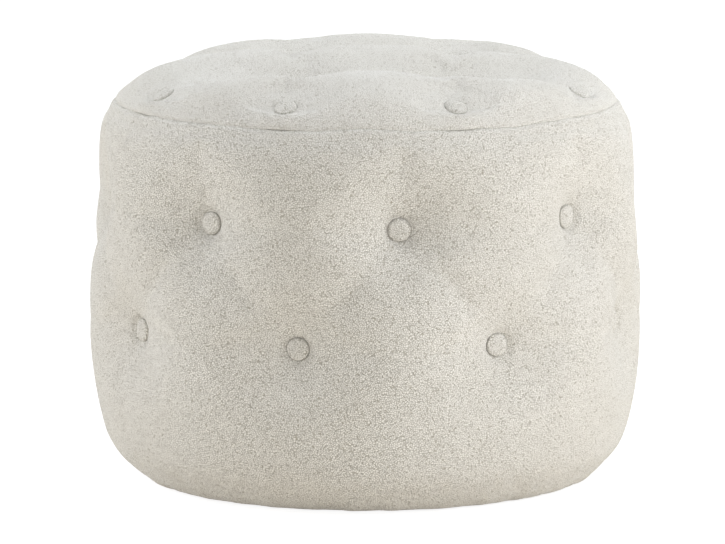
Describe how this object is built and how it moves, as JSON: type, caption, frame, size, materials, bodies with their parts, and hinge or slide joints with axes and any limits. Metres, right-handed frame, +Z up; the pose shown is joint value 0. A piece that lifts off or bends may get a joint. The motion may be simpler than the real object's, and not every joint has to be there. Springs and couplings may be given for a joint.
{
  "type": "tuffet",
  "caption": "Low round padded stool with button-tufted looped fabric over a wooden drum frame, for sitting or resting feet",
  "frame": {"origin": "centre of the base on the floor, where the four glides stand", "axes": "+Z up out of the seat, -Y towards the front, +X to the right seen from the front; the form is round about Z"},
  "size_m": [0.6066, 0.6066, 0.472],
  "materials": {
    "boucle": "looped boucle",
    "button_cloth": "looped boucle drawn over a button mould",
    "wadding": "bonded polyester wadding",
    "foam": "open-cell foam",
    "plywood": "raw plywood",
    "hardboard": "raw hardboard",
    "pine": "planed pine",
    "zinc": "zinc plated",
    "dust_cloth": "non-woven cloth",
    "nylon": "moulded"
  },
  "bodies": {
    "root": {"top_cover": "boucle", "side_cover": "boucle", "top_wadding": "wadding", "side_wadding": "wadding", "top_foam": "foam", "side_foam": "foam", "top_board": "plywood", "base_board": "plywood", "drum_wall": "hardboard", "post_1": "pine", "post_2": "pine", "post_3": "pine", "post_4": "pine", "screw_top_1": "zinc", "screw_top_2": "zinc", "screw_top_3": "zinc", "screw_top_4": "zinc", "screw_base_1": "zinc", "screw_base_2": "zinc", "screw_base_3": "zinc", "screw_base_4": "zinc", "button_rim_1": "button_cloth", "button_rim_2": "button_cloth", "button_rim_3": "button_cloth", "button_rim_4": "button_cloth", "button_rim_5": "button_cloth", "button_rim_6": "button_cloth", "button_rim_7": "button_cloth", "button_rim_8": "button_cloth", "button_top_1": "button_cloth", "button_top_2": "button_cloth", "button_top_3": "button_cloth", "button_top_4": "button_cloth", "button_upper_1": "button_cloth", "button_upper_2": "button_cloth", "button_upper_3": "button_cloth", "button_upper_4": "button_cloth", "button_upper_5": "button_cloth", "button_upper_6": "button_cloth", "button_upper_7": "button_cloth", "button_upper_8": "button_cloth", "button_lower_1": "button_cloth", "button_lower_2": "button_cloth", "button_lower_3": "button_cloth", "button_lower_4": "button_cloth", "button_lower_5": "button_cloth", "button_lower_6": "button_cloth", "button_lower_7": "button_cloth", "button_lower_8": "button_cloth", "dust_cover": "dust_cloth", "glide_1": "nylon", "glide_2": "nylon", "glide_3": "nylon", "glide_4": "nylon"}
  },
  "joints": []
}
